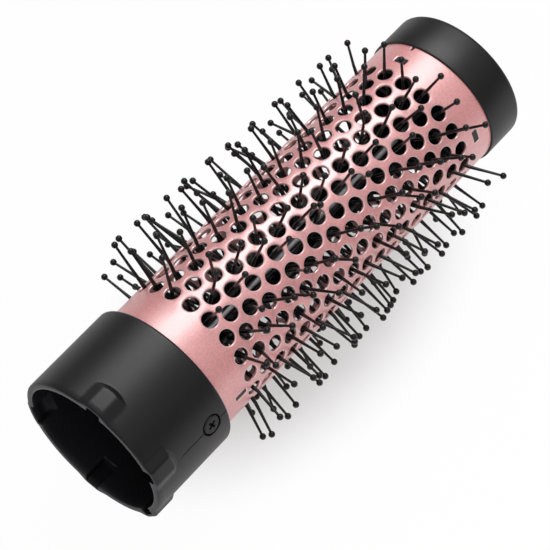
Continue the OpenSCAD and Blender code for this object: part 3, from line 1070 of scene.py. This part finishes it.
class BRUSH_OT_socket(bpy.types.Operator):
    """Builds the coupling socket"""

    bl_idname = "brush.socket"
    bl_label = "Build socket"

    def execute(self, context):
        s = context.scene.brush_socket
        screws = context.scene.brush_screws
        bm = bmesh.new()
        outer_rows = spaced([(0.0, 1), (0.00005, 1), (0.00015, 1), (0.0003, 1), (0.00045, 4), (0.0055, 1),
                             (s.lug_length - 0.0022, 13), (s.lug_length + 0.0004, 2), (0.0118, 2),
                             (0.0176, 20), (0.0256, 2), (SOCKET_END - FAR_ROUND, 6), (SOCKET_END, 1)])
        inner_rows = spaced([(0.0, 1), (0.0001, 1), (INNER_RIM, 3), (0.0062, 1), (0.0066, 5),
                             (0.0076, 2), (s.mouth_depth, 1)])
        angles = [TURN * k / SOCKET_SIDES for k in range(SOCKET_SIDES)]
        outer = [[bm.verts.new(polar(x, a, outer_radius(s, x, a))) for a in angles] for x in outer_rows]
        inner = [[bm.verts.new(polar(x, a, inner_radius(s, x, a))) for a in angles] for x in inner_rows]
        # The shoulder behind the mouth, and the bore that the barrel sits in
        step = [(s.mouth_depth, SHOULDER_RADIUS + 0.0001), (s.mouth_depth + 0.0001, SHOULDER_RADIUS),
                (SHOULDER_END, SHOULDER_RADIUS), (SHOULDER_END, SEAT_RADIUS),
                (SOCKET_END - 0.0002, SEAT_RADIUS), (SOCKET_END, SEAT_RADIUS + 0.00015)]
        seat = [[bm.verts.new(polar(x, a, r)) for a in angles] for x, r in step]
        loft(bm, outer + seat[::-1] + inner[::-1] + [outer[0]])
        face_out(bm)
        socket = new_piece("coupling_socket", bm, finish("socket_plastic"))
        cut_recesses(socket, s, screws)
        sharpen(socket, 40)
        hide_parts("socket")
        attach(socket, "root")
        return {"FINISHED"}


def cut_recesses(socket, s, screws):
    """Cuts the two round recesses that the screw heads sit in, and their shank holes."""
    for k in range(2):
        angle = s.screw_angle + math.pi * k
        bm = bmesh.new()
        edge = screws.head / 2 + HEAD_GAP
        hole = screws.shank / 2 + SHANK_GAP
        flare = edge + RECESS_FLARE
        floor = s.radius - screws.rise
        profile = [(floor - 0.004, 0.0), (floor - 0.004, hole), (floor, hole), (floor, edge),
                   (s.radius - 0.00025, edge), (s.radius + 0.0002, flare),
                   (s.radius + 0.0012, flare), (s.radius + 0.0012, 0.0)]
        lathe(bm, profile, 64, close=False)
        face_out(bm)
        place = screw_place(s.screw_place, angle)
        bmesh.ops.transform(bm, matrix=place, verts=bm.verts)
        tool = new_piece("recess_tool", bm, finish("socket_plastic"))
        cut = socket.modifiers.new("recess", "BOOLEAN")
        cut.operation = "DIFFERENCE"
        cut.solver = "EXACT"
        cut.object = tool
        mesh = evaluated_mesh(socket)
        socket.modifiers.clear()
        socket.data = mesh
        bpy.data.objects.remove(tool, do_unlink=True)


def screw_place(x, angle):
    """Turns the X axis outwards at an angle round the barrel, and moves it along to x."""
    out = Vector((0, math.sin(angle), math.cos(angle)))
    along = Vector((1, 0, 0))
    side = out.cross(along)
    turned = Matrix((out, along, side)).transposed().to_4x4()
    return Matrix.Translation(Vector((x, 0, 0))) @ turned


# End cap

CAP_BORE = 0.02005
CAP_SEAT = 0.14195
CAP_FACE = 0.0022
CAP_ROUND = 0.0012
CAP_LIP_ROUND = 0.0003
COLLAR_START = 0.1397
COLLAR_RADIUS = 0.0173
COLLAR_BORE = 0.0155


class BRUSH_OT_cap(bpy.types.Operator):
    """Builds the end cap"""

    bl_idname = "brush.cap"
    bl_label = "Build end cap"

    def execute(self, context):
        start, end = near_end("end_cap"), far_end("end_cap")
        radius = far_end("end_cap", 2)
        bm = bmesh.new()
        lip = CAP_LIP_ROUND
        outline = [(start, CAP_BORE), (start, radius - lip)]
        outline += round_corner(start + lip, radius - lip, lip, 180, 90, 3)[1:]
        outline += [(mix(start, end, 0.5), radius)]
        outline += round_corner(end - CAP_ROUND, radius - CAP_ROUND, CAP_ROUND, 90, 0, 8)
        # The flat end dishes by a tenth of a millimetre
        outline += [(end - 0.00002, radius - 0.004), (end - 0.0001, radius - 0.0055), (end - 0.0001, 0.0)]
        back = [(end - CAP_FACE, 0.0), (end - CAP_FACE, COLLAR_BORE), (COLLAR_START + 0.0004, COLLAR_BORE),
                (COLLAR_START, COLLAR_BORE + 0.0003), (COLLAR_START, COLLAR_RADIUS - 0.0002),
                (COLLAR_START + 0.0002, COLLAR_RADIUS), (CAP_SEAT, COLLAR_RADIUS), (CAP_SEAT, CAP_BORE)]
        lathe(bm, outline + back, 240)
        face_out(bm)
        cap = new_piece("end_cap_shell", bm, finish("cap_plastic"))
        sharpen(cap, 40)
        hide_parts("end_cap")
        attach(cap, "root")
        return {"FINISHED"}


# Screws

SCREW_SIDES = 72
THREAD_PITCH = 0.0006

# The cross recess, as the length and half width of an arm, and its depth
CROSS_ARM = 0.00130
CROSS_HALF = 0.00034
CROSS_DEPTH = 0.0010


def screw_mesh(s, length_below):
    """A pan-head screw along the X axis, head seat at 0, with a cross recess and a threaded shank."""
    bm = bmesh.new()
    r = s.head / 2
    turns = [TURN * k / SCREW_SIDES for k in range(SCREW_SIDES)]
    crown = [(s.rise - 0.00002, 0.00135), (s.rise - 0.0001, r - 0.00055)]
    crown += round_corner(s.rise - 0.0005, r - 0.0004, 0.0004, 12, 90, 4)
    crown += [(0.00012, r), (0.0, r - 0.00012)]
    shank = [(0.0, s.shank / 2)]
    for k in range(int(length_below / THREAD_PITCH)):
        shank += [(-THREAD_PITCH * (k + 0.2), s.shank / 2), (-THREAD_PITCH * (k + 0.6), s.shank / 2 * 0.84)]
    shank += [(-length_below, s.shank / 2 * 0.7)]
    rows = [[bm.verts.new(polar(x, a, q)) for a in turns] for x, q in crown + shank]
    loft(bm, rows)
    fan(bm, rows[-1], bm.verts.new((-length_below, 0, 0)))
    # The inside of the crown's first row drops to a four-armed pit
    top = crown[0][0]
    edge, pit = [], []
    for a in turns:
        c, q = max(abs(math.cos(a)), 0.001), max(abs(math.sin(a)), 0.001)
        reach = max(min(CROSS_ARM / c, CROSS_HALF / q), min(CROSS_HALF / c, CROSS_ARM / q))
        edge.append(bm.verts.new(polar(top, a, reach)))
        pit.append(bm.verts.new(polar(top - CROSS_DEPTH, a, reach * 0.8)))
    loft(bm, [rows[0], edge, pit])
    fan(bm, pit, bm.verts.new((top - CROSS_DEPTH - 0.0002, 0, 0)))
    face_out(bm)
    return new_object("screw_pattern", new_mesh("screw", bm))


def screw_tree():
    """Puts a screw at each point of a mesh, turned by the point's own rotation."""
    tree, n, source, target = shape_tree("Screw pair", [("Screw", "Object"), ("Finish", "Material")])
    screw = n.add("GeometryNodeObjectInfo", {"Object": source["Screw"]}).outputs["Geometry"]
    facing = n.make("GeometryNodeInputNamedAttribute", {"Name": "facing"}, data_type="FLOAT_VECTOR")
    pairs = n.make("GeometryNodeInstanceOnPoints", {"Points": source["Geometry"], "Instance": screw,
                                                    "Rotation": facing})
    end_tree(n, pairs, source["Finish"], target)
    return tree


class BRUSH_OT_screws(bpy.types.Operator):
    """Builds the socket screws and the core screws"""

    bl_idname = "brush.screws"
    bl_label = "Build screws"

    def execute(self, context):
        s, k = context.scene.brush_screws, context.scene.brush_socket
        tree = screw_tree()
        seat = k.radius - s.rise
        sockets = [(polar(k.screw_place, k.screw_angle + math.pi * m, seat),
                    screw_place(0, k.screw_angle + math.pi * m) @ Matrix.Rotation(math.radians(28), 4, "X"))
                   for m in range(2)]
        rear, front = near_end("core_screws"), far_end("core_screws")
        cores = [(Vector((rear + s.rise, 0, 0)), Matrix.Rotation(math.pi, 4, "Z")),
                 (Vector((front - s.rise, 0, 0)), Matrix.Rotation(math.radians(20), 4, "X"))]
        jobs = [("socket_screws", sockets, "black_steel", 0.0075),
                ("core_screws", cores, "bright_steel", 0.007)]
        for node, places, slot, below in jobs:
            mesh = bpy.data.meshes.new(node)
            mesh.from_pydata([p for p, _ in places], [], [])
            facing = mesh.attributes.new("facing", "FLOAT_VECTOR", "POINT")
            for entry, (_, turned) in zip(facing.data, places):
                entry.vector = turned.to_euler()
            screw = screw_mesh(s, below)
            piece = run_tree(new_object(node + "_detail", mesh), tree,
                             {"Screw": screw, "Finish": finish(slot)})
            bpy.data.objects.remove(screw, do_unlink=True)
            sharpen(piece, 35)
            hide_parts(node)
            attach(piece, "root")
        return {"FINISHED"}


# Sleeves, spiders and rod keep their CAD shapes and get finishes


class BRUSH_OT_inside(bpy.types.Operator):
    """Finishes the sleeves, spiders and rod inside the barrel"""

    bl_idname = "brush.inside"
    bl_label = "Finish inside parts"

    def execute(self, context):
        for node in ("rear_sleeve", "rear_spider", "front_sleeve", "front_spider"):
            cover_node(node, finish("inner_plastic"))
        cover_node("core_rod", finish("bright_steel"))
        return {"FINISHED"}


def cover_node(node, material):
    """Gives a CAD node a new material in every slot."""
    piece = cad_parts[node]
    if not piece.material_slots:
        piece.data.materials.append(material)
    for slot in piece.material_slots:
        slot.material = material


# Stage

# The camera, fitted to the hole centres and the edges of the head
CAMERA_PLACE = (-0.19112, -0.21865, 0.56161)
CAMERA_RIGHT = (0.640679, -0.767809, 0)
CAMERA_FORWARD = (0.395513, 0.330031, -0.857117)
CAMERA_LENS = 165.67

MIDDLE = Vector((0.074, 0, 0))
KEY_PLACE = MIDDLE + Vector((0.294, 0.223, 0.613))
WIDE_PLACE = KEY_PLACE * 1.02
FILL_PLACE = MIDDLE + Vector((-0.25, -0.72, 0.55))
FLOOR_HALF = 4.0

# The strip of floor, across the barrel, over which painted shade darkens it towards +Y
PAINTED_SHADE_SPAN = (-0.08, 0.12)


class BRUSH_OT_stage(bpy.types.Operator):
    """Sets the floor, lamps, world and camera"""

    bl_idname = "brush.stage"
    bl_label = "Set stage"

    def execute(self, context):
        s = context.scene.brush_stage
        scene = context.scene
        build_floor(s)
        build_world(s)
        build_lamps(s)
        camera = bpy.data.cameras.new("photo_camera")
        camera.lens = CAMERA_LENS
        camera.sensor_width = 36
        camera.clip_start = 0.05
        camera.clip_end = 20
        eye = new_object("photo_camera", camera)
        right, forward = Vector(CAMERA_RIGHT), Vector(CAMERA_FORWARD)
        turned = Matrix((right, right.cross(forward), -forward)).transposed().to_4x4()
        eye.matrix_world = Matrix.Translation(CAMERA_PLACE) @ turned
        scene.camera = eye
        scene.view_settings.view_transform = "Standard"
        return {"FINISHED"}


def build_floor(s):
    """A wide pale floor that keeps the object's shadow, shows white past it, and has painted shade towards
    +Y.
    """
    bm = bmesh.new()
    bm.faces.new([bm.verts.new((x * FLOOR_HALF, y * FLOOR_HALF, cad_box[0].z))
                  for x, y in ((-1, -1), (1, -1), (1, 1), (-1, 1))])
    material, n, shader = new_finish("pale_floor")
    x, y, _ = n.parts(object_place(n))
    # Painted shade: the floor's colour darkens towards +Y, so that the head's reflections on that side come
    # out darker.
    tone = n.ramp(y, *PAINTED_SHADE_SPAN, s.floor_tone, s.floor_tone * 0.75)
    grey = n.make("ShaderNodeCombineColor", {0: tone, 1: tone, 2: tone})
    n.fill(shader, {"Base Color": grey, "Roughness": 0.9, "Specular IOR Level": 0.2})
    # Near the object the floor keeps its shadow, and further out it turns white
    away = n.vec("LENGTH", n.xyz(n.times(n.minus(x, MIDDLE.x), 0.6), y, 0.0))
    seen = n.ramp(away, 0.018, 0.044, 0.4, 0.97, smooth=True)
    # Painted light and shade in reflections: the floor mirrors more white towards -Y and less towards +Y.
    mirrored = n.ramp(y, *PAINTED_SHADE_SPAN, 0.5, 0.05)
    white_share(n, shader, "ShaderNodeEmission", seen, mirrored)
    floor = new_piece("floor", bm, material, smooth=False)


def white_share(n, shader, white_kind, seen, mirrored):
    """Mixes plain white over a shader, by one share where it is seen and another where it is mirrored."""
    path = n.add("ShaderNodeLightPath").outputs
    direct = n.calc("MAXIMUM", path["Is Camera Ray"], path["Is Transmission Ray"])
    share = n.plus(n.times(direct, seen), n.times(path["Is Glossy Ray"], mirrored))
    white = n.make(white_kind, {"Color": (1, 1, 1, 1), "Strength": 1.0})
    output = n.tree.nodes.get("Material Output") or n.tree.nodes.get("World Output")
    n.set(output.inputs[0], n.make("ShaderNodeMixShader", {0: share, 1: shader.outputs[0], 2: white}))


def build_world(s):
    """Light from the room, dim near the horizon and brighter overhead, and white to the camera."""
    world = bpy.data.worlds.new("studio")
    world.use_nodes = True
    n = Nodes(world.node_tree)
    background = world.node_tree.nodes.get("Background")
    height = n.parts(n.add("ShaderNodeTexCoord").outputs["Generated"])[2]
    strength = n.ramp(height, 0.35, 0.75, s.horizon, s.fill, smooth=True)
    n.fill(background, {"Color": (1, 1, 1, 1), "Strength": strength})
    white_share(n, background, "ShaderNodeBackground", 1.0, 0.08)
    bpy.context.scene.world = world


def add_lamp(name, power, place, width, height):
    """A rectangular lamp facing the head, its width along the barrel."""
    lamp = bpy.data.lights.new(name, "AREA")
    lamp.shape = "RECTANGLE"
    lamp.size, lamp.size_y = width, height
    lamp.energy = power
    back = (place - MIDDLE).normalized()
    along = Vector((1, 0, 0))
    side = (along - back * along.dot(back)).normalized()
    item = new_object(name, lamp)
    item.matrix_world = Matrix.Translation(place) @ Matrix(
        (side, back.cross(side), back)).transposed().to_4x4()
    return item


def build_lamps(s):
    """Two soft lamps over the cap's end and a wide one in front, which shows in no reflection."""
    add_lamp("narrow_lamp", s.key_power, KEY_PLACE, 0.22, 0.47)
    add_lamp("wide_lamp", s.wide_power, WIDE_PLACE, 0.22, 0.95)
    fill = add_lamp("fill_lamp", s.fill_power, FILL_PLACE, 1.0, 1.0)
    fill.visible_glossy = False


OPERATORS = (BRUSH_OT_stage, BRUSH_OT_barrel, BRUSH_OT_pins, BRUSH_OT_socket, BRUSH_OT_cap,
             BRUSH_OT_screws, BRUSH_OT_inside)


class BRUSH_PT_panel(bpy.types.Panel):
    """Lists the brush head's settings and operators"""

    bl_idname = "BRUSH_PT_panel"
    bl_label = "Brush head"
    bl_space_type = "VIEW_3D"
    bl_region_type = "UI"
    bl_category = "Brush head"

    def draw(self, context):
        for operator in OPERATORS:
            self.layout.operator(operator.bl_idname)
        for name, group in SETTINGS.items():
            box = self.layout.box()
            for key in group.__annotations__:
                box.prop(getattr(context.scene, name), key)


def register():
    for group in SETTINGS.values():
        bpy.utils.register_class(group)
    for name, group in SETTINGS.items():
        setattr(bpy.types.Scene, name, PointerProperty(type=group))
    for item in (*OPERATORS, BRUSH_PT_panel):
        bpy.utils.register_class(item)


def unregister():
    for item in (BRUSH_PT_panel, *reversed(OPERATORS)):
        bpy.utils.unregister_class(item)
    for name in SETTINGS:
        delattr(bpy.types.Scene, name)
    for group in reversed(SETTINGS.values()):
        bpy.utils.unregister_class(group)


def main():
    register()
    for step in (bpy.ops.brush.stage, bpy.ops.brush.barrel, bpy.ops.brush.pins, bpy.ops.brush.socket,
                 bpy.ops.brush.cap, bpy.ops.brush.screws, bpy.ops.brush.inside):
        step()


if __name__ == "__main__":
    main()
